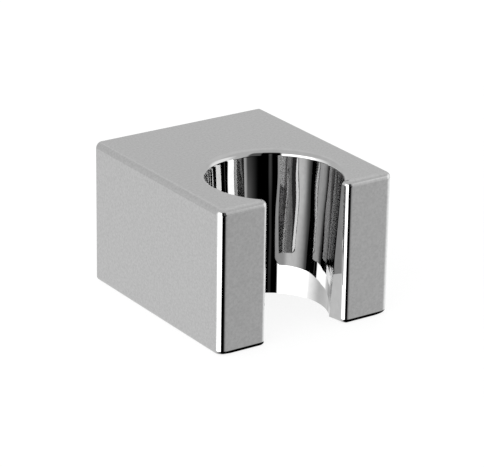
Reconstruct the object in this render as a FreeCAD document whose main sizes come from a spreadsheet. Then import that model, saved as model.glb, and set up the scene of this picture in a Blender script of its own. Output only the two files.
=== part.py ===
import FreeCAD, Part
import os
import Sketcher

# Square wall holder for a hand shower, in three pieces: the cast body with its tapered cradle, the
# bracket that is screwed to the wall inside it, and the grub screw that clamps the two together.
# Millimetres, +Z up. The origin is the middle of the wall face, and the body stands out along -Y.

DIMENSIONS = {
    # body, outside
    "body_width": 38.0,
    "body_depth": 42.5,            # wall to front
    "body_height": 28.2,
    "front_corner_round": 1.5,     # the two outer upright edges of the front
    "slot_corner_round": 1.2,      # the two upright edges at the slot's mouth
    "top_edge_round": 1.2,         # top edges and the cradle's mouth
    "under_edge_round": 1.0,
    # cradle: a taper for the conical nut of a shower hose, slotted to the front for the hose
    "cradle_from_front": 11.0,     # front face to the taper's axis
    "cradle_top_radius": 12.6,
    "cradle_bottom_radius": 10.7,
    "slot_width": 17.2,
    # cavity in the back
    "roof_wall": 3.2,
    "floor_wall": 4.6,
    "side_wall": 3.2,
    "cavity_depth": 14.0,
    "cavity_corner": 1.5,
    # bracket
    "bracket_clearance": 0.3,      # between the bracket's plate and the cavity, all round
    "plate_thickness": 3.0,
    "hub_width": 9.0,
    "hub_reach": 12.0,             # wall to the hub's end
    "hub_gap": 1.2,                # cavity's roof or floor to the hub
    "hub_root_round": 0.6,
    "hub_end_chamfer": 0.8,
    "core_wall": 2.5,              # sides of the hub round its cored-out back
    "core_height": 8.0,
    "core_depth": 9.0,
    "fixing_spacing": 20.0,
    "fixing_hole_diameter": 4.5,
    "fixing_head_diameter": 8.2,   # countersink for a flat screw head
    "fixing_head_angle": 90.0,
    "notch_depth": 1.6,            # V across the hub's underside, where the grub screw bites
    # grub screw, M5 with a cone point and a hexagon socket
    "grub_offset": 7.5,            # wall to the screw's axis
    "grub_diameter": 5.0,
    "grub_length": 4.0,
    "grub_clearance": 0.05,        # between screw and hole, all round
    "grub_slack": 0.15,            # cavity's floor to the tip of the slackened screw
    "grub_tip_radius": 0.5,
    "grub_cone_height": 2.0,
    "grub_end_chamfer": 0.3,
    "socket_across_flats": 2.5,
    "socket_depth": 1.8,
}

doc = FreeCAD.newDocument("shower_wall_holder")
dims = doc.addObject("Spreadsheet::Sheet", "dims")
for row, (alias, value) in enumerate(DIMENSIONS.items(), start=1):
    dims.set(f"A{row}", alias)
    dims.set(f"B{row}", str(value))
    dims.setAlias(f"B{row}", alias)
doc.recompute()


def new_body(label, y="0", z="0"):
    """A sub-part whose own origin stands at y and z, two expressions in the sheet's names."""
    body = doc.addObject("PartDesign::Body", label)
    body.Label = label
    body.setExpression("Placement.Base.y", y)
    body.setExpression("Placement.Base.z", z)
    return body


def new_sketch(body, name, plane, x="0", y="0", z="0"):
    """A sketch on one of the body's origin planes, with its origin moved in the plane's own axes."""
    sketch = body.newObject("Sketcher::SketchObject", name)
    origin_plane = next(f for f in body.Origin.OriginFeatures if f.Role == plane)
    sketch.AttachmentSupport = [(origin_plane, "")]
    sketch.MapMode = "FlatFace"
    for axis, expression in zip("xyz", (x, y, z)):
        if expression != "0":
            sketch.setExpression(f"AttachmentOffset.Base.{axis}", expression)
    return sketch


def place_point(sketch, geometry, point, name, x, y):
    """Holds a point of a sketch at x and y, two expressions measured from the sketch's origin."""
    for axis, expression, axis_line in (("X", x, -2), ("Y", y, -1)):
        if expression == "0":
            sketch.addConstraint(Sketcher.Constraint("PointOnObject", geometry, point, axis_line))
            continue
        constraint = Sketcher.Constraint(f"Distance{axis}", -1, 1, geometry, point, 1.0)
        index = sketch.addConstraint(constraint)
        sketch.renameConstraint(index, f"{name}_{axis.lower()}")
        sketch.setExpression(f"Constraints.{name}_{axis.lower()}", expression)


def add_outline(sketch, corners):
    """A closed outline of straight lines through corners, each a pair of expressions."""
    count = len(corners)
    for i in range(count):
        start = FreeCAD.Vector(i, i * i, 0)
        end = FreeCAD.Vector((i + 1) % count, ((i + 1) % count) ** 2, 0)
        sketch.addGeometry(Part.LineSegment(start, end), False)
    for i in range(count):
        sketch.addConstraint(Sketcher.Constraint("Coincident", i, 2, (i + 1) % count, 1))
    for i, (x, y) in enumerate(corners):
        place_point(sketch, i, 1, f"corner_{i}", x, y)


def add_rectangle(sketch, left, right, bottom, top):
    add_outline(sketch, [(left, bottom), (right, bottom), (right, top), (left, top)])


def add_circle(sketch, radius, x="0", y="0"):
    circle = Part.Circle(FreeCAD.Vector(0, 0, 0), FreeCAD.Vector(0, 0, 1), 1.0)
    index = sketch.addGeometry(circle, False)
    place_point(sketch, index, 3, f"centre_{index}", x, y)
    constraint = sketch.addConstraint(Sketcher.Constraint("Radius", index, 1.0))
    sketch.renameConstraint(constraint, f"radius_{index}")
    sketch.setExpression(f"Constraints.radius_{index}", radius)


def add_feature(body, kind, name, choices=None, **properties):
    """A PartDesign feature. A text value is an expression in the sheet's names, and choices holds the
    properties that are picked from a list."""
    feature = body.newObject(f"PartDesign::{kind}", name)
    for key, value in properties.items():
        if not isinstance(value, str):
            setattr(feature, key, value)
    for key, value in (choices or {}).items():
        setattr(feature, key, value)
    for key, value in properties.items():
        if isinstance(value, str):
            feature.setExpression(key, value)
    doc.recompute()
    return feature


def cut(body, kind, name, **properties):
    """A feature that takes material away, which is checked, because one turned the wrong way won't."""
    before = body.Shape.Volume
    feature = add_feature(body, kind, name, **properties)
    if not body.Shape.Volume < before - 0.01:
        raise RuntimeError(f"{name} cut nothing")
    return feature


def dress(body, kind, name, wanted, **properties):
    """A fillet or chamfer on the edges of the body that the function wanted picks."""
    base = body.Tip
    edges = [f"Edge{i}" for i, edge in enumerate(base.Shape.Edges, start=1) if wanted(edge)]
    if not edges:
        raise RuntimeError(f"{name} found no edge")
    return add_feature(body, kind, name, Base=(base, edges), **properties)


def near(a, b):
    return abs(a - b) < 1e-4


def flat_at(edge, axis, place):
    """Does the whole edge lie at this place along one axis?"""
    box = edge.BoundBox
    return near(getattr(box, f"{axis}Min"), place) and near(getattr(box, f"{axis}Max"), place)


# The body: a block, rounded outside, with the slotted taper through it and a cavity for the bracket.

holder = new_body("holder_body")
half_width = dims.body_width / 2
half_height = dims.body_height / 2

outline = new_sketch(holder, "body_outline", "XY_Plane")
add_rectangle(outline, "-dims.body_width / 2", "dims.body_width / 2", "-dims.body_depth", "0")
add_feature(holder, "Pad", "block", Profile=outline, Midplane=True, Length="dims.body_height")

CRADLE_Y = "(dims.cradle_from_front - dims.body_depth)"
taper = new_sketch(holder, "taper_profile", "YZ_Plane", x=CRADLE_Y)
add_outline(taper, [
    ("0", "-dims.body_height / 2"),
    ("dims.cradle_bottom_radius", "-dims.body_height / 2"),
    ("dims.cradle_top_radius", "dims.body_height / 2"),
    ("0", "dims.body_height / 2"),
])
cut(holder, "Groove", "cradle", Profile=taper, ReferenceAxis=(taper, ["V_Axis"]), Angle=360.0)

slot = new_sketch(holder, "slot_outline", "XY_Plane")
add_rectangle(slot, "-dims.slot_width / 2", "dims.slot_width / 2", "-dims.body_depth", CRADLE_Y)
cut(holder, "Pocket", "hose_slot", Profile=slot, Midplane=True, Length="dims.body_height")


def on_front_corner(edge):
    upright = flat_at(edge, "Y", -dims.body_depth) and edge.BoundBox.ZLength > half_height
    return upright and near(abs(edge.BoundBox.XMin), half_width)


def on_slot_corner(edge):
    upright = flat_at(edge, "Y", -dims.body_depth) and edge.BoundBox.ZLength > half_height
    return upright and near(abs(edge.BoundBox.XMin), dims.slot_width / 2)


def on_top_edge(edge):
    return flat_at(edge, "Z", half_height) and not flat_at(edge, "Y", 0)


def on_cradle_foot(edge):
    """Is the edge an arc of the taper's lower rim?"""
    if not flat_at(edge, "Z", -half_height) or not isinstance(edge.Curve, Part.Circle):
        return False
    return near(edge.Curve.Radius, dims.cradle_bottom_radius)


def on_under_edge(edge):
    return flat_at(edge, "Z", -half_height) and not flat_at(edge, "Y", 0) and not on_cradle_foot(edge)


dress(holder, "Fillet", "front_corner_rounds", on_front_corner, Radius="dims.front_corner_round")
dress(holder, "Fillet", "slot_corner_rounds", on_slot_corner, Radius="dims.slot_corner_round")
dress(holder, "Fillet", "top_rounds", on_top_edge, Radius="dims.top_edge_round")
dress(holder, "Fillet", "under_rounds", on_under_edge, Radius="dims.under_edge_round")

cavity = new_sketch(holder, "cavity_outline", "XZ_Plane")
add_rectangle(cavity, "-dims.body_width / 2 + dims.side_wall", "dims.body_width / 2 - dims.side_wall",
              "-dims.body_height / 2 + dims.floor_wall", "dims.body_height / 2 - dims.roof_wall")
cut(holder, "Pocket", "bracket_cavity", Profile=cavity, Reversed=True, Length="dims.cavity_depth")

cavity_side = half_width - dims.side_wall
cavity_floor = dims.floor_wall - half_height
cavity_roof = half_height - dims.roof_wall


def runs_back(edge):
    """Is the edge straight and square to the wall?"""
    box = edge.BoundBox
    return box.YLength > 1 and box.XLength < 1e-4 and box.ZLength < 1e-4


def on_cavity_corner(edge):
    box = edge.BoundBox
    on_end = near(box.ZMin, cavity_floor) or near(box.ZMin, cavity_roof)
    return runs_back(edge) and near(abs(box.XMin), cavity_side) and on_end


dress(holder, "Fillet", "cavity_corner_rounds", on_cavity_corner, Radius="dims.cavity_corner")

grub_hole = new_sketch(holder, "grub_hole_outline", "XY_Plane")
add_circle(grub_hole, "dims.grub_diameter / 2 + dims.grub_clearance", y="-dims.grub_offset")
cut(holder, "Pocket", "grub_hole", Profile=grub_hole, Length="dims.body_height / 2")


# The bracket: a plate that fills the cavity's mouth, and a cored hub with a notch underneath. Its own
# origin is on the wall, at the middle of the cavity.

bracket = new_body("wall_bracket", z="(dims.floor_wall - dims.roof_wall) / 2")
PLATE_HALF_WIDTH = "(dims.body_width / 2 - dims.side_wall - dims.bracket_clearance)"
CAVITY_HALF_HEIGHT = "((dims.body_height - dims.floor_wall - dims.roof_wall) / 2)"
PLATE_HALF_HEIGHT = f"({CAVITY_HALF_HEIGHT} - dims.bracket_clearance)"
HUB_HALF_HEIGHT = f"({CAVITY_HALF_HEIGHT} - dims.hub_gap)"

plate = new_sketch(bracket, "plate_outline", "XZ_Plane")
add_rectangle(plate, f"-{PLATE_HALF_WIDTH}", PLATE_HALF_WIDTH,
              f"-{PLATE_HALF_HEIGHT}", PLATE_HALF_HEIGHT)
add_feature(bracket, "Pad", "plate", Profile=plate, Length="dims.plate_thickness")
dress(bracket, "Fillet", "plate_corner_rounds", runs_back,
      Radius="dims.cavity_corner - dims.bracket_clearance")

hub = new_sketch(bracket, "hub_outline", "XZ_Plane")
add_rectangle(hub, "-dims.hub_width / 2", "dims.hub_width / 2",
              f"-{HUB_HALF_HEIGHT}", HUB_HALF_HEIGHT)
add_feature(bracket, "Pad", "hub", Profile=hub, Length="dims.hub_reach")


def on_hub_root(edge):
    reach = max(-edge.BoundBox.XMin, edge.BoundBox.XMax)
    return flat_at(edge, "Y", -dims.plate_thickness) and reach < dims.hub_width / 2 + 0.01


def on_hub_end(edge):
    return flat_at(edge, "Y", -dims.hub_reach)


dress(bracket, "Fillet", "hub_root_rounds", on_hub_root, Radius="dims.hub_root_round")
dress(bracket, "Chamfer", "hub_end_bevel", on_hub_end, Size="dims.hub_end_chamfer")

core = new_sketch(bracket, "core_outline", "XZ_Plane")
add_rectangle(core, "-dims.hub_width / 2 + dims.core_wall", "dims.hub_width / 2 - dims.core_wall",
              "-dims.core_height / 2", "dims.core_height / 2")
cut(bracket, "Pocket", "hub_core", Profile=core, Reversed=True, Length="dims.core_depth")

notch = new_sketch(bracket, "notch_outline", "YZ_Plane", x="-dims.grub_offset", y=f"-{HUB_HALF_HEIGHT}")
add_outline(notch, [
    ("-dims.notch_depth", "0"),
    ("dims.notch_depth", "0"),
    ("0", "dims.notch_depth"),
])
cut(bracket, "Pocket", "grub_notch", Profile=notch, Midplane=True, Length="dims.hub_width")

fixings = new_sketch(bracket, "fixing_centres", "XZ_Plane", z="dims.plate_thickness")
for side in ("-", ""):
    add_circle(fixings, "dims.fixing_hole_diameter / 2", x=f"{side}dims.fixing_spacing / 2")
doc.recompute()
cut(bracket, "Hole", "fixing_holes", Profile=fixings,
    choices={"DepthType": "ThroughAll", "HoleCutType": "Countersink", "HoleCutCustomValues": True},
    Diameter="dims.fixing_hole_diameter", HoleCutDiameter="dims.fixing_head_diameter",
    HoleCutCountersinkAngle="dims.fixing_head_angle")


# The grub screw, slackened: its own origin is at its tip, on its axis.

grub = new_body("grub_screw", y="-dims.grub_offset",
                z="dims.floor_wall - dims.grub_slack - dims.body_height / 2")

profile = new_sketch(grub, "screw_profile", "YZ_Plane")
add_outline(profile, [
    ("0", "0"),
    ("dims.grub_tip_radius", "0"),
    ("dims.grub_diameter / 2", "-dims.grub_cone_height"),
    ("dims.grub_diameter / 2", "dims.grub_end_chamfer - dims.grub_length"),
    ("dims.grub_diameter / 2 - dims.grub_end_chamfer", "-dims.grub_length"),
    ("0", "-dims.grub_length"),
])
add_feature(grub, "Revolution", "screw", Profile=profile, ReferenceAxis=(profile, ["V_Axis"]),
            Angle=360.0)

socket = new_sketch(grub, "socket_outline", "XY_Plane", z="-dims.grub_length")
CORNER_RADIUS = "dims.socket_across_flats / sqrt(3)"
add_outline(socket, [
    (f"{CORNER_RADIUS} * cos({angle} deg)", f"{CORNER_RADIUS} * sin({angle} deg)")
    for angle in range(30, 390, 60)
])
cut(grub, "Pocket", "socket", Profile=socket, Reversed=True, Length="dims.socket_depth")


# Write each sub-part as it stands in the assembly.

doc.recompute()
for item in doc.Objects:
    if "Invalid" in item.State or "Error" in item.State:
        raise RuntimeError(f"{item.Label} failed: {item.State}")

os.makedirs("parts", exist_ok=True)
for body in (holder, bracket, grub):
    shape = body.Shape
    if shape.isNull() or not shape.isValid() or len(shape.Solids) != 1:
        raise RuntimeError(f"{body.Label} is not one valid solid")
    shape.exportStep(f"parts/{body.Label}.step")
    print(f"{body.Label}: {shape.Volume:.0f} mm3")
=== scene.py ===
# %% [markdown]
# # Square wall holder for a hand shower
#
# The real thing is a small chromed block that closes against a tiled wall. A conical cradle goes down
# through it, open to the front by a slot, so a shower hose slips in and its conical nut rests in the
# taper. A bracket on the wall sits inside the block, and a grub screw from below clamps the two.
#
# The engineering model is loaded first and never moved. It gives every size and place, and this
# lesson gives it the surfaces, the finishes, the studio and the camera.

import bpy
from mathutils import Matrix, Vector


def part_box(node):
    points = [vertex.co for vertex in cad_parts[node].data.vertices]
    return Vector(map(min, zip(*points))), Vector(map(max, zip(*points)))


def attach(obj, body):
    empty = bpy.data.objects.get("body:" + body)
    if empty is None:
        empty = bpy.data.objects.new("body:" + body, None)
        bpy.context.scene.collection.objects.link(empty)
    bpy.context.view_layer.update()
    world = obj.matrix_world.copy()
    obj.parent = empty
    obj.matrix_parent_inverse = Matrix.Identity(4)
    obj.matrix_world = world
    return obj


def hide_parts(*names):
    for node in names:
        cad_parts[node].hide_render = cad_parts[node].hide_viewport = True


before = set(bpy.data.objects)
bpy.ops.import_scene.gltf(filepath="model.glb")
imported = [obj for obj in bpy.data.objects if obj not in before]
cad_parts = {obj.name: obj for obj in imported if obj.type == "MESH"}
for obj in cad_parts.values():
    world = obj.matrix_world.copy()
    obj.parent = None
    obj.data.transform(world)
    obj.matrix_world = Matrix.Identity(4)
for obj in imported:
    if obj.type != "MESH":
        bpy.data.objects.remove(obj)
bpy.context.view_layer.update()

# %% [markdown]
# ## Sizes
#
# Blender works in metres, and this product is drawn in millimetres, so one factor turns one into the
# other. The block's own outside comes from its node. The sizes below are the ones that the node's box
# doesn't give: the cradle's taper, the slot, the cavity in the back and the radius of each edge.

# %% Sizes
import bpy
from math import pi, radians
from mathutils import Matrix, Vector

MM = 0.001
block_low, block_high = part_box("holder_body")
TOP, UNDERSIDE = block_high.z, block_low.z
SIDE, FRONT, WALL = block_high.x, block_low.y, 0.0
BLOCK = block_high - block_low

CRADLE_FROM_FRONT = 11.0 * MM
CRADLE_TOP_RADIUS = 12.6 * MM
CRADLE_BOTTOM_RADIUS = 10.7 * MM
SLOT_WIDTH = 17.2 * MM
FRONT_CORNER_ROUND = 1.5 * MM
SLOT_CORNER_ROUND = 1.2 * MM
TOP_EDGE_ROUND = 1.2 * MM
UNDER_EDGE_ROUND = 1.0 * MM
ROOF_WALL = 3.2 * MM
FLOOR_WALL = 4.6 * MM
SIDE_WALL = 3.2 * MM
CAVITY_DEPTH = 14.0 * MM
CAVITY_CORNER = 1.5 * MM
GRUB_OFFSET = 7.5 * MM
GRUB_HOLE_RADIUS = 2.55 * MM
CRADLE_Y = FRONT + CRADLE_FROM_FRONT
print("block in mm:", [round(side / MM, 2) for side in BLOCK], "cradle at y", round(CRADLE_Y / MM, 2))

# %% [markdown]
# ## Working by hand, in code
#
# Every piece below is made as in the viewport: add a primitive, select some edges or faces, use an
# operator, apply a modifier. A few helpers keep that readable. `add_block` and `add_turned` place a
# primitive, and `settle` gives its place and size to the mesh, so that each finished object sits at
# the origin. `round_edges` is the Bevel modifier on chosen edges only, and `cut` is the Boolean one.
# A round is given as many steps as its size in the view calls for: eight on the polished body, and
# fewer on edges that are tiny or hidden.

# %% Helpers for modelling
SAME_PLACE = 0.002 * MM
AROUND_CRADLE = 256
AROUND_HOLE = 96
FINE_STEPS = 8
SHARP_ANGLE = radians(30)


def deselect():
    bpy.ops.object.select_all(action="DESELECT")


def only(piece):
    """Makes one object the selected and active one."""
    deselect()
    piece.select_set(True)
    bpy.context.view_layer.objects.active = piece


def settle(piece, name):
    """Names a new piece and moves its place and size from the object to the mesh."""
    only(piece)
    bpy.ops.object.transform_apply(location=True, rotation=True, scale=True)
    piece.name = piece.data.name = name
    return piece


def add_block(name, low, high):
    deselect()
    size = Vector(high) - Vector(low)
    bpy.ops.mesh.primitive_cube_add(size=1, location=(Vector(high) + Vector(low)) / 2, scale=size)
    return settle(bpy.context.object, name)


def add_turned(name, foot_radius, end_radius, foot, length, around=AROUND_CRADLE, into_wall=False):
    """A cone or cylinder that starts at foot and goes up, or into the wall."""
    deselect()
    way = Vector((0, 1, 0)) if into_wall else Vector((0, 0, 1))
    bpy.ops.mesh.primitive_cone_add(vertices=around, radius1=foot_radius, radius2=end_radius,
                                    depth=length, location=Vector(foot) + way * length / 2,
                                    rotation=(-pi / 2 if into_wall else 0, 0, 0))
    return settle(bpy.context.object, name)


def round_edges(piece, widths, segments):
    """Rounds edges: widths is a list of (test, radius), and a test is given the edge's two ends."""
    only(piece)
    mesh = piece.data
    weights = mesh.attributes.new("bevel_weight_edge", "FLOAT", "EDGE")
    widest = max(radius for test, radius in widths)
    chosen = 0
    for edge in mesh.edges:
        a, b = (mesh.vertices[index].co for index in edge.vertices)
        for test, radius in widths:
            if test(a, b):
                weights.data[edge.index].value = radius / widest
                chosen += 1
    bevel = piece.modifiers.new("rounds", "BEVEL")
    bevel.limit_method = "WEIGHT"
    bevel.width = widest
    bevel.segments = segments
    bevel.use_clamp_overlap = False
    bpy.ops.object.modifier_apply(modifier=bevel.name)
    spent = mesh.attributes.get("bevel_weight_edge")
    if spent:
        mesh.attributes.remove(spent)
    print(piece.name, "rounds", chosen, "edges")


def cut(piece, other, operation="DIFFERENCE"):
    """Takes the other shape out of the piece, or with UNION joins it on."""
    only(piece)
    boolean = piece.modifiers.new("cut", "BOOLEAN")
    boolean.operation = operation
    boolean.solver = "EXACT"
    boolean.object = other
    bpy.ops.object.modifier_apply(modifier=boolean.name)
    bpy.data.objects.remove(other)


def shade(piece):
    """Smooth shading that stays sharp at real corners, with the large flats kept flat."""
    only(piece)
    bpy.ops.object.shade_smooth_by_angle(angle=SHARP_ANGLE)
    weighted = piece.modifiers.new("weighted", "WEIGHTED_NORMAL")
    weighted.mode = "FACE_AREA"
    weighted.weight = 100  # the strongest pull towards the large faces
    weighted.keep_sharp = True
    bpy.ops.object.modifier_apply(modifier=weighted.name)
    print(piece.name, "has", len(piece.data.polygons), "faces")


def at(value, place):
    return abs(value - place) < SAME_PLACE


# %% [markdown]
# ## The body
#
# The block is cast and polished, so every surface is a mirror, and a mirror shows each facet of a
# coarse mesh. The engineering model's facets are fine for measuring but not for that. So the block is
# modelled again at the same sizes with 256 sides round the cradle and eight steps in each rounded
# edge.
#
# The order is the one a pattern maker would use: block, cradle, slot, then the rounded edges, and
# last the cavity that nobody sees, whose edges stay as they are cut. The cutters run a little past
# the block at each end, because two faces in one plane leave a Boolean nothing to decide by.

# %% The block with its cradle and slot
OVER = 1 * MM

body = add_block("holder_body_polished", (-SIDE, FRONT, UNDERSIDE), (SIDE, WALL, TOP))

taper_per_length = (CRADLE_TOP_RADIUS - CRADLE_BOTTOM_RADIUS) / (TOP - UNDERSIDE)
cradle = add_turned("cradle_cutter", CRADLE_BOTTOM_RADIUS - OVER * taper_per_length,
                    CRADLE_TOP_RADIUS + OVER * taper_per_length,
                    (0, CRADLE_Y, UNDERSIDE - OVER), TOP - UNDERSIDE + 2 * OVER)
cut(body, cradle)

slot = add_block("slot_cutter", (-SLOT_WIDTH / 2, FRONT - OVER, UNDERSIDE - OVER),
                 (SLOT_WIDTH / 2, CRADLE_Y, TOP + OVER))
cut(body, slot)
print("block with cradle and slot:", len(body.data.vertices), "points")

# %% [markdown]
# ## The rounded edges
#
# Polishing rounds every outer edge, and chrome shows those rounds as bright and black lines, so
# their radii matter more than their size suggests. They differ: the front corners are the fullest,
# and the underside is the tightest. They could be modelled one after the other, but the corners
# where three of them meet come out cleanly only when one Bevel makes them all. Each test below
# picks one kind of edge by its place. The edges on the wall stay sharp, as the wall hides them, and
# so does the cradle's lower rim.

# %% Round the edges


def on_front_corner(a, b):
    return at(a.y, FRONT) and at(b.y, FRONT) and at(abs(a.x), SIDE) and at(a.x, b.x)


def on_slot_corner(a, b):
    return at(a.y, FRONT) and at(b.y, FRONT) and at(abs(a.x), SLOT_WIDTH / 2) and at(a.x, b.x)


def on_top_rim(a, b):
    return at(a.z, TOP) and at(b.z, TOP) and not (at(a.y, WALL) and at(b.y, WALL))


def on_under_rim(a, b):
    if not (at(a.z, UNDERSIDE) and at(b.z, UNDERSIDE)) or (at(a.y, WALL) and at(b.y, WALL)):
        return False
    axis = Vector((0, CRADLE_Y, UNDERSIDE))
    on_cradle = [at((end - axis).length, CRADLE_BOTTOM_RADIUS) for end in (a, b)]
    return not all(on_cradle)


round_edges(body, [(on_front_corner, FRONT_CORNER_ROUND), (on_slot_corner, SLOT_CORNER_ROUND),
                   (on_top_rim, TOP_EDGE_ROUND), (on_under_rim, UNDER_EDGE_ROUND)], FINE_STEPS)

# %% [markdown]
# ## The back of the body
#
# The cavity takes the wall bracket. It is a plain pocket with rounded corners, and the grub screw's
# hole comes up into it through the floor. Both are cut after the outside is rounded, because their
# edges are left as machined.

# %% Cavity and screw hole
cavity = add_block("cavity_cutter", (-SIDE + SIDE_WALL, WALL - CAVITY_DEPTH, UNDERSIDE + FLOOR_WALL),
                   (SIDE - SIDE_WALL, WALL + OVER, TOP - ROOF_WALL))
round_edges(cavity, [(lambda a, b: not at(a.y, b.y), CAVITY_CORNER)], FINE_STEPS)
cut(body, cavity)

grub_hole = add_turned("grub_hole_cutter", GRUB_HOLE_RADIUS, GRUB_HOLE_RADIUS,
                       (0, WALL - GRUB_OFFSET, UNDERSIDE - OVER), FLOOR_WALL + 2 * OVER, around=AROUND_HOLE)
cut(body, grub_hole)
shade(body)

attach(body, "body")
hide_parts("holder_body")

# %% [markdown]
# ## The wall bracket
#
# A small zinc casting is screwed to the wall, and the body slides over it. Its plate fills the mouth
# of the cavity, and its hub carries the V notch that the grub screw bites into. As on any casting, the
# hub runs into the plate with a small round, it is cored out from behind, and the plate's outer edge is
# softened. The countersinks are cut with plain cones, as a countersink bit would.

# %% Plate and hub
PLATE_THICKNESS = 3.0 * MM
PLATE_CORNER = 1.2 * MM
PLATE_RIM_ROUND = 0.2 * MM
HUB_WIDTH = 9.0 * MM
HUB_SHOULDER = 0.9 * MM
HUB_ROOT_ROUND = 0.6 * MM
HUB_END_BEVEL = 0.8 * MM
RIM_STEPS = 3
ROOT_STEPS = 4

bracket_low, bracket_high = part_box("wall_bracket")
MIDDLE = (bracket_low.z + bracket_high.z) / 2
HUB_END, HUB_LOW, HUB_HIGH = bracket_low.y, bracket_low.z + HUB_SHOULDER, bracket_high.z - HUB_SHOULDER

bracket = add_block("wall_bracket_cast", (bracket_low.x, -PLATE_THICKNESS, bracket_low.z), bracket_high)
round_edges(bracket, [(lambda a, b: not at(a.y, b.y), PLATE_CORNER)], FINE_STEPS)
round_edges(bracket, [(lambda a, b: at(a.y, -PLATE_THICKNESS) and at(b.y, -PLATE_THICKNESS),
                       PLATE_RIM_ROUND)], RIM_STEPS)

hub = add_block("hub", (-HUB_WIDTH / 2, HUB_END, HUB_LOW), (HUB_WIDTH / 2, -PLATE_THICKNESS / 2, HUB_HIGH))
round_edges(hub, [(lambda a, b: at(a.y, HUB_END) and at(b.y, HUB_END), HUB_END_BEVEL)], 1)
cut(bracket, hub, "UNION")


def on_hub_root(a, b):
    """Is the edge one of the four where the hub meets the plate?"""
    beside = at(abs(a.x), HUB_WIDTH / 2) and at(a.x, b.x)
    across = (at(a.z, HUB_LOW) or at(a.z, HUB_HIGH)) and at(a.z, b.z)
    return at(a.y, -PLATE_THICKNESS) and at(b.y, -PLATE_THICKNESS) and (beside or across)


round_edges(bracket, [(on_hub_root, HUB_ROOT_ROUND)], ROOT_STEPS)

# %% [markdown]
# ## What is cut out of the bracket
#
# The hub is cored from behind, so that the casting has even walls and doesn't sink as it cools. The
# notch is a square bar turned on edge and sunk into the hub's underside: it gives the V its right
# angle by itself. A countersink could be a bevel on the hole's rim, but a cone is what the real
# tool is, and its place on the axis sets the head's width exactly.

# %% Core, notch and screw holes of the bracket
CORE_WALL = 2.5 * MM
CORE_HALF_HEIGHT = 4.0 * MM
CORE_DEPTH = 9.0 * MM
NOTCH_DEPTH = 1.6 * MM
FIXING_X = 10.0 * MM
FIXING_RADIUS = 2.25 * MM
HEAD_RADIUS = 4.1 * MM

CORE_HALF_WIDTH = HUB_WIDTH / 2 - CORE_WALL
cut(bracket, add_block("core", (-CORE_HALF_WIDTH, WALL - CORE_DEPTH, MIDDLE - CORE_HALF_HEIGHT),
                       (CORE_HALF_WIDTH, WALL + OVER, MIDDLE + CORE_HALF_HEIGHT)))

deselect()
bar = NOTCH_DEPTH * 2 ** 0.5
bpy.ops.mesh.primitive_cube_add(size=1, location=(0, WALL - GRUB_OFFSET, HUB_LOW),
                                rotation=(pi / 4, 0, 0), scale=(2 * HUB_WIDTH, bar, bar))
cut(bracket, settle(bpy.context.object, "notch"))

for x in (-FIXING_X, FIXING_X):
    before_plate = (x, -PLATE_THICKNESS - OVER, MIDDLE)
    cut(bracket, add_turned("fixing_hole", FIXING_RADIUS, FIXING_RADIUS, before_plate,
                            PLATE_THICKNESS + 2 * OVER, around=AROUND_HOLE, into_wall=True))
    cut(bracket, add_turned("countersink", HEAD_RADIUS + OVER, FIXING_RADIUS / 2, before_plate,
                            HEAD_RADIUS + OVER - FIXING_RADIUS / 2, around=AROUND_HOLE,
                            into_wall=True))
shade(bracket)

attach(bracket, "bracket")
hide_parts("wall_bracket")

# %% [markdown]
# ## The grub screw
#
# An M5 screw with a cone point and a hexagon socket. A turned piece can be spun from an outline, or
# grown from its end face by extruding and scaling in turns, which is used here because it keeps the
# piece closed all the way. The thread is drawn as grooves at the real pitch, which at this size can't
# be told from a helix.

# %% Turn the screw
SCREW_RADIUS = 2.5 * MM
THREAD_PITCH = 0.8 * MM
THREAD_DEPTH = 0.45 * MM
CONE_HEIGHT = 2.0 * MM
TIP_RADIUS = 0.5 * MM
END_BEVEL = 0.3 * MM
THREADS = 2

screw_low, screw_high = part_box("grub_screw")
SCREW_Y, HEEL, TIP = WALL - GRUB_OFFSET, screw_low.z, screw_high.z
steps = [(SCREW_RADIUS, HEEL + END_BEVEL)]
for turn in range(THREADS):
    crest = HEEL + END_BEVEL + turn * THREAD_PITCH
    steps.append((SCREW_RADIUS - THREAD_DEPTH, crest + THREAD_PITCH / 2))
    steps.append((SCREW_RADIUS, crest + THREAD_PITCH))
steps += [(SCREW_RADIUS, TIP - CONE_HEIGHT), (TIP_RADIUS, TIP)]

deselect()
radius, height = SCREW_RADIUS - END_BEVEL, HEEL
bpy.ops.mesh.primitive_circle_add(vertices=AROUND_HOLE, radius=radius, fill_type="NGON",
                                  location=(0, SCREW_Y, HEEL))
screw = settle(bpy.context.object, "grub_screw_turned")
bpy.ops.object.mode_set(mode="EDIT")
bpy.ops.mesh.select_all(action="SELECT")
for next_radius, next_height in steps:
    bpy.ops.mesh.extrude_region_move(TRANSFORM_OT_translate={"value": (0, 0, next_height - height)})
    growth = next_radius / radius
    bpy.ops.transform.resize(value=(growth, growth, 1), center_override=(0, SCREW_Y, next_height))
    radius, height = next_radius, next_height
bpy.ops.mesh.select_all(action="SELECT")
bpy.ops.mesh.normals_make_consistent(inside=False)
bpy.ops.object.mode_set(mode="OBJECT")
print("turned screw:", len(screw.data.polygons), "faces")

# %% [markdown]
# ## Its socket
#
# The socket is drilled and then broached to a hexagon, so the drill's shallow cone stays at its
# bottom. The hexagon is a cylinder with six sides, whose corners lie further out than its flats. The
# cone starts a little short of the socket's end and a little wider, so that the two cuts overlap,
# and it passes the end exactly as wide as the drill.

# %% Broach the socket
SOCKET_CORNER = 2.5 * MM / 3 ** 0.5
SOCKET_DEPTH = 1.8 * MM
DRILL_RADIUS = 1.1 * MM
DRILL_POINT = 0.3 * MM
OVERLAP = 0.1
HEXAGON = 6
AROUND_DRILL = 48

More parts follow.
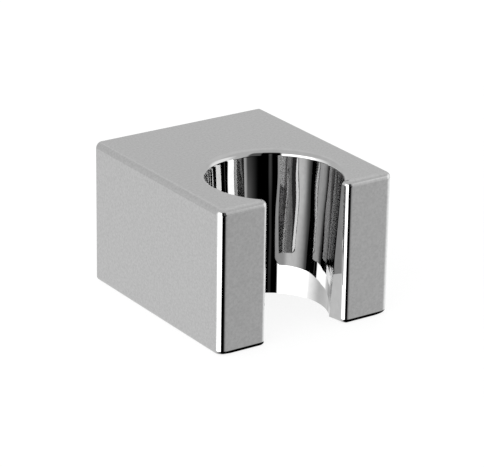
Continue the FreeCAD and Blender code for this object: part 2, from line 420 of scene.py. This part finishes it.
cut(screw, add_turned("socket", SOCKET_CORNER, SOCKET_CORNER, (0, SCREW_Y, HEEL - OVER),
                      SOCKET_DEPTH + OVER, around=HEXAGON))
cut(screw, add_turned("drill_point", DRILL_RADIUS * (1 + OVERLAP), 0,
                      (0, SCREW_Y, HEEL + SOCKET_DEPTH - DRILL_POINT * OVERLAP),
                      DRILL_POINT * (1 + OVERLAP), around=AROUND_DRILL))
shade(screw)

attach(screw, "screw")
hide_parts("grub_screw")

# %% [markdown]
# ## Finishes
#
# Bright chrome is almost a perfect mirror. What makes it look real is small: a faint haze that
# differs from place to place, and a waviness far too shallow to see except in what it reflects. The
# outside is a little softer than the cradle, because it is what hands and cloths rub.
#
# Every finish here is built in the same way: a noise in the object's own space goes through `tint`
# for the colour, through `spread` for the roughness and through `relief` for the unevenness. Noise
# keeps to the middle of its range, so both ends of each map stand at LITTLE and MUCH, not at 0 and 1.

# %% Helpers for finishes
LITTLE, MUCH = 0.3, 0.7


def new_material(name):
    material = bpy.data.materials.new(name)
    material.use_nodes = True
    nodes, links = material.node_tree.nodes, material.node_tree.links
    return material, nodes, links, nodes["Principled BSDF"]


def new_metal(name):
    material, nodes, links, shader = new_material(name)
    shader.inputs["Metallic"].default_value = 1.0
    return material, nodes, links, shader


def noise(nodes, links, scale, detail=3.0, tall=1.0):
    """Noise in object space: scale counts features per metre, and tall draws them out upwards."""
    place = nodes.new("ShaderNodeTexCoord")
    mapping = nodes.new("ShaderNodeMapping")
    mapping.inputs["Scale"].default_value = (1.0, 1.0, 1.0 / tall)
    texture = nodes.new("ShaderNodeTexNoise")
    texture.inputs["Scale"].default_value = scale
    texture.inputs["Detail"].default_value = detail
    links.new(place.outputs["Object"], mapping.inputs["Vector"])
    links.new(mapping.outputs["Vector"], texture.inputs["Vector"])
    return texture.outputs["Fac"]


def spread(nodes, links, value, low, high):
    """Maps the middle of a noise to the range from low to high."""
    step = nodes.new("ShaderNodeMapRange")
    step.inputs["From Min"].default_value = LITTLE
    step.inputs["From Max"].default_value = MUCH
    step.inputs["To Min"].default_value = low
    step.inputs["To Max"].default_value = high
    links.new(value, step.inputs["Value"])
    return step.outputs["Result"]


def tint(nodes, links, value, dark, light):
    """Maps the middle of a noise to the colours from dark to light."""
    ramp = nodes.new("ShaderNodeValToRGB")
    for stop, place, colour in zip(ramp.color_ramp.elements, (LITTLE, MUCH), (dark, light)):
        stop.position = place
        stop.color = (*colour, 1)
    links.new(value, ramp.inputs["Fac"])
    return ramp.outputs["Color"]


def relief(nodes, links, height, depth):
    """Makes light fall as on a surface that rises and sinks by the depth."""
    bump = nodes.new("ShaderNodeBump")
    bump.inputs["Distance"].default_value = depth
    links.new(height, bump.inputs["Height"])
    return bump.outputs["Normal"]


# %% Chrome of the outside
chrome, nodes, links, shader = new_metal("rubbed_chrome")
mottle = noise(nodes, links, 2200, detail=2)
links.new(tint(nodes, links, mottle, (0.575, 0.575, 0.575), (0.665, 0.665, 0.665)),
          shader.inputs["Base Color"])
links.new(spread(nodes, links, noise(nodes, links, 1600), 0.06, 0.08), shader.inputs["Roughness"])
body.data.materials.clear()
body.data.materials.append(chrome)
print("outside:", chrome.name)

# %% [markdown]
# ## The chrome of the cradle
#
# Inside the cradle and the slot the chrome is a clean mirror that faces itself, so one bright card is
# seen there several times over. What breaks the bars up is the casting under the plating, which has
# long waves that run up and down, a few hundredths of a millimetre deep. So the waves are one slow
# noise, drawn out upwards, used as relief. It could be real displacement, but that needs a very fine
# mesh for something which only the reflections show.
#
# Both chromes are on one piece. Its faces are sorted by their place: those near the cradle's axis or
# between the slot's walls get the mirror, unless they are flat on top or below.

# %% Chrome of the cradle
NEARLY = 0.01 * MM
FLAT = 0.999
MIRROR, DULL = 1, 2

mirror, nodes, links, shader = new_metal("mirror_chrome")
links.new(tint(nodes, links, noise(nodes, links, 900), (0.60, 0.60, 0.60), (0.64, 0.64, 0.64)),
          shader.inputs["Base Color"])
links.new(spread(nodes, links, noise(nodes, links, 400), 0.012, 0.03), shader.inputs["Roughness"])
waves = noise(nodes, links, 260, detail=0, tall=3.0)
links.new(relief(nodes, links, waves, 0.08 * MM), shader.inputs["Normal"])
body.data.materials.append(mirror)

lined = 0
for face in body.data.polygons:
    from_axis = (face.center - Vector((0, CRADLE_Y, face.center.z))).length
    round_part = from_axis < CRADLE_TOP_RADIUS + TOP_EDGE_ROUND
    slot_part = abs(face.center.x) < SLOT_WIDTH / 2 + NEARLY and face.center.y < CRADLE_Y
    if abs(face.normal.z) < FLAT and (round_part or slot_part):
        face.material_index = MIRROR
        lined += 1
print("cradle and slot:", lined, "mirror faces")

# %% [markdown]
# ## The casting inside the body
#
# Plating hardly reaches into a deep pocket, and nobody polishes one, so the cavity and the screw's
# hole stay dull. They could be a separate inner piece, but then the body would no longer be one
# closed shape. A third finish on the same mesh does it, again for faces sorted by place.

# %% Casting inside the body
inside, nodes, links, shader = new_metal("plain_casting")
links.new(tint(nodes, links, noise(nodes, links, 900), (0.36, 0.36, 0.37), (0.5, 0.5, 0.51)),
          shader.inputs["Base Color"])
links.new(spread(nodes, links, noise(nodes, links, 1800), 0.35, 0.55), shader.inputs["Roughness"])
links.new(relief(nodes, links, noise(nodes, links, 2600), 0.03 * MM), shader.inputs["Normal"])
body.data.materials.append(inside)

dull = 0
for face in body.data.polygons:
    x, y, z = face.center
    behind = WALL - CAVITY_DEPTH - NEARLY < y < WALL - NEARLY
    within = abs(x) < SIDE - SIDE_WALL + NEARLY and z < TOP - ROOF_WALL + NEARLY
    above_floor = z > UNDERSIDE + FLOOR_WALL - NEARLY
    in_hole = Vector((x, y - WALL + GRUB_OFFSET)).length < GRUB_HOLE_RADIUS + NEARLY
    if behind and within and (above_floor or in_hole):
        face.material_index = DULL
        dull += 1
print("cavity and screw hole:", dull, "dull faces")

# %% [markdown]
# ## The bracket's metal
#
# The bracket is left as it comes out of the die: bright grey zinc with a cloudy skin, since the metal
# chills unevenly. More detail in the noise gives the clouds their ragged edges, and a fine relief
# takes the shine off.

# %% Metal of the bracket
cast, nodes, links, shader = new_metal("cast_zinc")
links.new(tint(nodes, links, noise(nodes, links, 1600, detail=5), (0.44, 0.45, 0.47), (0.56, 0.57, 0.59)),
          shader.inputs["Base Color"])
links.new(spread(nodes, links, noise(nodes, links, 700), 0.3, 0.46), shader.inputs["Roughness"])
links.new(relief(nodes, links, noise(nodes, links, 3000), 0.02 * MM), shader.inputs["Normal"])
bracket.data.materials.append(cast)
print("bracket:", cast.name)

# %% [markdown]
# ## The grub screw's steel
#
# Hardened screws are blackened in hot oil. The skin is thin and even, so the colour changes little,
# and the steel still shines softly through it. That is a dark metal, not black paint.

# %% Metal of the grub screw
steel, nodes, links, shader = new_metal("blackened_steel")
links.new(tint(nodes, links, noise(nodes, links, 1500), (0.10, 0.10, 0.11), (0.2, 0.2, 0.21)),
          shader.inputs["Base Color"])
links.new(spread(nodes, links, noise(nodes, links, 1500), 0.3, 0.45), shader.inputs["Roughness"])
links.new(relief(nodes, links, noise(nodes, links, 4000), 0.01 * MM), shader.inputs["Normal"])
screw.data.materials.append(steel)
print("screw:", steel.name)

# %% [markdown]
# ## The studio
#
# Chrome has hardly a colour of its own: it shows the room. A studio for shiny things is therefore a
# tent of pale paper, with a white softbox on one side and black cards round the camera. Here the
# world plays that tent. The cards were placed by trial for the view from the left front, so from
# other sides a flat face can catch a black card or the softbox whole.
#
# Each card is a patch of the tent between two compass bearings, where 0 is straight ahead of the
# block's front and 90 its right, and between two heights above the horizon. It covers the cards
# listed before it, and its edges fade over the softness given for its sides and for its top and
# bottom. Everything but the brightness is in degrees.

# %% The cards of the tent
TENT_LEVEL = 0.66
CARDS = {  # bearings, heights, brightness, softness of the sides, softness of top and bottom
    "floor of the tent": ((-200, 200), (-100, -66), 0.22, 10, 30),
    "glow beside the softbox": ((-126, -60), (-24, 34), 1.4, 40, 12),
    "pale table on the left": ((-190, -134), (-60, -19), 0.78, 16, 3),
    "white paper on the right": ((62, 158), (-50, -14), 1.25, 50, 16),
    "light card on the right": ((42, 95), (-10, 34), 1.2, 24, 6),
    "pale ceiling": ((80, 190), (30, 75), 0.75, 30, 20),
    # painted shade: a dark patch low in front stands in for the floor darkened by the block's own shadow,
    # and the chrome shows it as dark lines along its under edges
    "painted floor shade in front": ((-86, 138), (-100, -29), 0.0, 24, 8),
    "grey card by the camera": ((-40, 27), (-12, 1), 0.1, 24, 8),
    "softbox": ((-105, -40), (-31, 31), 2.6, 16, 8),
    "dark card over the camera": ((-44, 10), (-5, 46), 0.12, 6, 16),
    "black card over the camera": ((-44, -12), (-5, 46), 0.0, 4, 16),
    "black cards round the camera": ((-44, 13), (-40, 1), 0.0, 4, 6),
    "gap between them": ((-31, -27), (-14, 30), 0.08, 3, 8),
    "grey card low on the right": ((6, 37), (-32, -15), 0.46, 30, 12),
}

world = bpy.data.worlds.new("studio_tent")
bpy.context.scene.world = world
world.use_nodes = True
nodes, links = world.node_tree.nodes, world.node_tree.links
nodes.clear()


def feed(value, socket):
    """Gives a socket a number, or joins it to another node's output."""
    if isinstance(value, (int, float)):
        socket.default_value = value
    else:
        links.new(value, socket)


def calculate(operation, *values):
    step = nodes.new("ShaderNodeMath")
    step.operation = operation
    for value, socket in zip(values, step.inputs):
        feed(value, socket)
    return step.outputs["Value"]


def between(value, low, high, soft):
    """1 between low and high, 0 outside them, with a soft step at each."""
    sides = []
    for edge, start, end in ((low, 0, 1), (high, 1, 0)):
        step = nodes.new("ShaderNodeMapRange")
        step.interpolation_type = "SMOOTHSTEP"
        links.new(value, step.inputs["Value"])
        step.inputs["From Min"].default_value = edge - soft / 2
        step.inputs["From Max"].default_value = edge + soft / 2
        step.inputs["To Min"].default_value = start
        step.inputs["To Max"].default_value = end
        sides.append(step.outputs["Result"])
    return calculate("MULTIPLY", *sides)


# %% [markdown]
# ## Hanging the cards
#
# The world's Generated coordinate is the direction that a ray leaves in. Two lines of trigonometry
# turn it into a bearing and a height, and each card is then a mask that mixes its own brightness
# over what hangs behind it. Real lamps and planes would light the block as well, but they are
# harder to move about, and they would show in views from other sides.
#
# The camera itself sees plain white behind the block. All other rays, and so the chrome's
# reflections, see the tent.

# %% Hang the cards
DEGREES = 180 / pi
split = nodes.new("ShaderNodeSeparateXYZ")
links.new(nodes.new("ShaderNodeTexCoord").outputs["Generated"], split.inputs["Vector"])
toward_front = calculate("MULTIPLY", split.outputs["Y"], -1.0)
bearing = calculate("MULTIPLY", calculate("ARCTAN2", split.outputs["X"], toward_front), DEGREES)
height = calculate("MULTIPLY", calculate("ARCSINE", split.outputs["Z"]), DEGREES)

level = TENT_LEVEL
for bearings, heights, brightness, side_soft, top_soft in CARDS.values():
    across = between(bearing, *bearings, side_soft)
    upright = between(height, *heights, top_soft)
    mix = nodes.new("ShaderNodeMix")
    feed(calculate("MULTIPLY", across, upright), mix.inputs["Factor"])
    feed(level, mix.inputs["A"])
    feed(brightness, mix.inputs["B"])
    level = mix.outputs["Result"]

tent = nodes.new("ShaderNodeBackground")
links.new(level, tent.inputs["Color"])
white = nodes.new("ShaderNodeBackground")
white.inputs["Color"].default_value = (1, 1, 1, 1)
seen = nodes.new("ShaderNodeLightPath")
choose = nodes.new("ShaderNodeMixShader")
links.new(seen.outputs["Is Camera Ray"], choose.inputs["Fac"])
links.new(tent.outputs["Background"], choose.inputs[1])
links.new(white.outputs["Background"], choose.inputs[2])
output = nodes.new("ShaderNodeOutputWorld")
links.new(choose.outputs["Shader"], output.inputs["Surface"])
print("cards in the tent:", len(CARDS))

# %% [markdown]
# ## Floor
#
# The floor is plain and nearly white, and it lies just under the block, so that the block has
# something to stand on. Most of its brightness is its own, and the small rest is light that reaches
# it, which leaves a soft shadow under the block. The chrome doesn't reflect it. Instead, the tent
# holds what the chrome sees from below, with the floor's shade near the block painted in as a dark patch.

# %% Floor
FLOOR_SIDE = 8
FLOOR_GREY = 0.25
FLOOR_GLOW = 0.85

deselect()
bpy.ops.mesh.primitive_plane_add(size=FLOOR_SIDE, location=(0, 0, UNDERSIDE))
floor = settle(bpy.context.object, "floor")
paper, nodes, links, shader = new_material("floor_paper")
shader.inputs["Base Color"].default_value = (FLOOR_GREY, FLOOR_GREY, FLOOR_GREY, 1)
shader.inputs["Roughness"].default_value = 1.0
shader.inputs["Specular IOR Level"].default_value = 0.0
shader.inputs["Emission Color"].default_value = (1, 1, 1, 1)
shader.inputs["Emission Strength"].default_value = FLOOR_GLOW
floor.data.materials.append(paper)
floor.visible_glossy = False
print("floor at", round(UNDERSIDE / MM, 2), "mm")

# %% [markdown]
# ## Camera
#
# A long lens from above the left front corner, as for a catalogue: the far view keeps the block's
# upright edges almost parallel. A camera looks along its own minus Z axis, so that axis is pointed at
# the aim, and a small roll then levels the block.
#
# Light in the cradle bounces from wall to wall many times, and where the renderer stops counting it
# shows black. So it is allowed more mirror bounces than usual.

# %% Camera
CAMERA_PLACE = Vector((-0.2584, -0.4010, 0.1815))
CAMERA_AIM = Vector((-0.00021, -0.02161, -0.00101))
CAMERA_ROLL = radians(0.86)
LENS, SENSOR = 195.9, 36.0
NEAREST_SEEN = 0.01
MIRROR_BOUNCES = 12

camera = bpy.data.objects.new("camera", bpy.data.cameras.new("camera"))
bpy.context.scene.collection.objects.link(camera)
camera.data.lens = LENS
camera.data.sensor_width = SENSOR
camera.data.clip_start = NEAREST_SEEN
turned = (CAMERA_AIM - CAMERA_PLACE).to_track_quat("-Z", "Y").to_matrix()
turned = turned @ Matrix.Rotation(CAMERA_ROLL, 3, "Z")
camera.matrix_world = Matrix.Translation(CAMERA_PLACE) @ turned.to_4x4()
bpy.context.scene.camera = camera
bpy.context.scene.view_settings.view_transform = "Standard"
bpy.context.scene.cycles.glossy_bounces = MIRROR_BOUNCES
print("camera stands", round((CAMERA_AIM - CAMERA_PLACE).length, 3), "m away")
